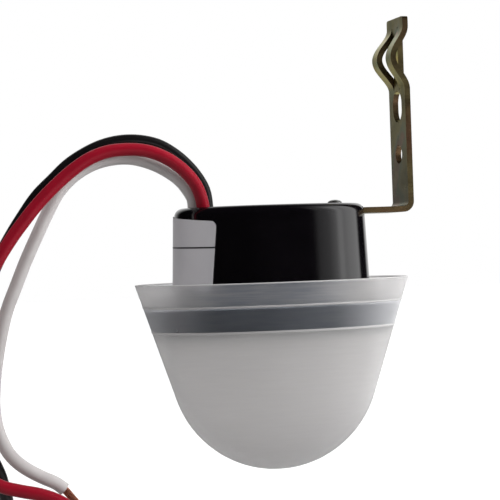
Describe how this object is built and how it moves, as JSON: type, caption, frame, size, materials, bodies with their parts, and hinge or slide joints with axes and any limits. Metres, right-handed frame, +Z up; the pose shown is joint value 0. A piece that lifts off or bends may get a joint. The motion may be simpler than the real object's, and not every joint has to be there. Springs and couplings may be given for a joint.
{
  "type": "photocell switch",
  "caption": "Relay photo control with an oval black body, a deep frosted cap, a slit strap bracket and three loose lead wires.",
  "frame": {"origin": "outer face of the bracket's upright strap, on its centre line, midway between the round hole and the slot", "axes": "+X out of the strap's outer face, +Y across the strap, +Z up along the strap, with the cap's dome below"},
  "size_m": [0.1286, 0.0588, 0.146],
  "materials": {
    "frosted_cap": "frosted translucent, moulded",
    "black_moulding": "gloss black, moulded",
    "inner_cover": "matt black, moulded",
    "screw_steel": "plain steel",
    "board_laminate": "paper laminate with soldered joints",
    "relay_blue": "blue moulded case",
    "capacitor_yellow": "yellow potted box",
    "capacitor_sleeve": "dark shrink sleeve",
    "varistor_coat": "blue dipped coat",
    "transistor_case": "black moulded case",
    "diode_case": "black moulded case",
    "zener_glass": "orange glass bead",
    "resistor_coat": "tan dipped coat",
    "cell_face": "clear coated light cell",
    "yellow_zinc": "yellow zinc plated steel",
    "rivet_steel": "bright zinc",
    "washer_steel": "plain steel",
    "label_paper": "satin grey sticker, no print",
    "bare_copper": "bare stranded copper",
    "insulation_black": "satin black sleeve",
    "insulation_red": "satin red sleeve",
    "insulation_white": "satin white sleeve"
  },
  "bodies": {
    "root": {"translucent_cap": "frosted_cap", "body_housing": "black_moulding", "sensor_plate": "inner_cover", "plate_screw_back": "screw_steel", "plate_screw_front": "screw_steel", "circuit_board": "board_laminate", "relay": "relay_blue", "film_capacitor": "capacitor_yellow", "electrolytic_capacitor": "capacitor_sleeve", "varistor": "varistor_coat", "transistor": "transistor_case", "rectifier_diode_1": "diode_case", "rectifier_diode_2": "diode_case", "rectifier_diode_3": "diode_case", "rectifier_diode_4": "diode_case", "zener_diode": "zener_glass", "resistor_1": "resistor_coat", "resistor_2": "resistor_coat", "resistor_3": "resistor_coat", "photoresistor": "cell_face", "mounting_bracket": "yellow_zinc", "bracket_rivet": "rivet_steel", "rivet_washer": "washer_steel", "rating_label": "label_paper", "wire_black": "insulation_black", "wire_red": "insulation_red", "wire_white": "insulation_white", "copper_black": "bare_copper", "copper_red": "bare_copper", "copper_white": "bare_copper"}
  },
  "joints": []
}
